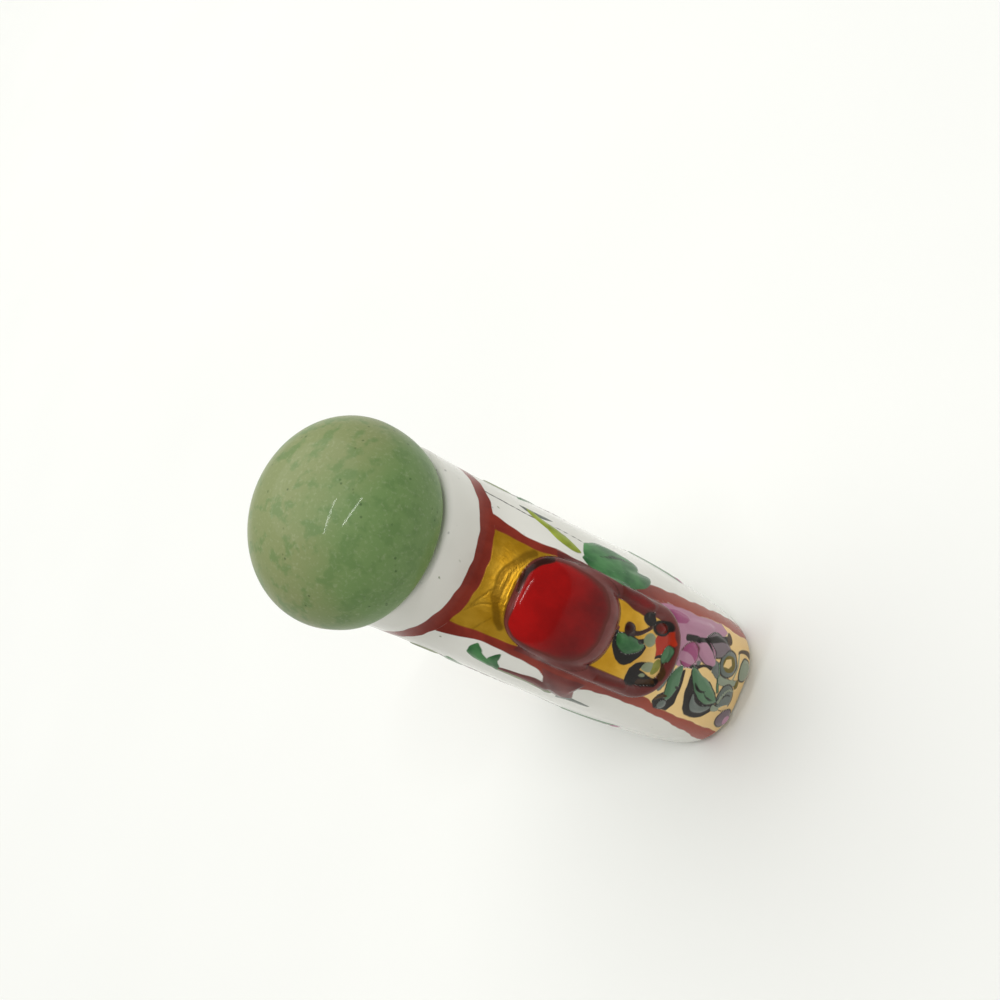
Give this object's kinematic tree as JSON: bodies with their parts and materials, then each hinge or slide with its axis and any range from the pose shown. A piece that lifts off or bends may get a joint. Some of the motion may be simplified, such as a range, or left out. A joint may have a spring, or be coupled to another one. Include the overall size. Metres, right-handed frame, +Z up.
{
  "type": "snuff bottle",
  "caption": "Small flattened porcelain bottle with a round neck, a raised boss and hanging loop on each narrow side, an oval foot rim and a domed stone stopper.",
  "frame": {"origin": "on the standing plane, under the middle of the bottle", "axes": "+Z up through the neck; the two broad painted faces look along -Y and +Y, the two narrow gilded sides along -X and +X"},
  "size_m": [0.0312, 0.0182, 0.0545],
  "materials": {
    "porcelain": "clear glossy glaze over white porcelain, with overglaze enamels and gilding on the narrow sides",
    "green_stone": "polished green aventurine, mottled and finely speckled",
    "cork": "natural cork, matt"
  },
  "bodies": {
    "root": {"bottle": "porcelain", "stopper": "green_stone", "stopper_cork": "cork"}
  },
  "joints": []
}
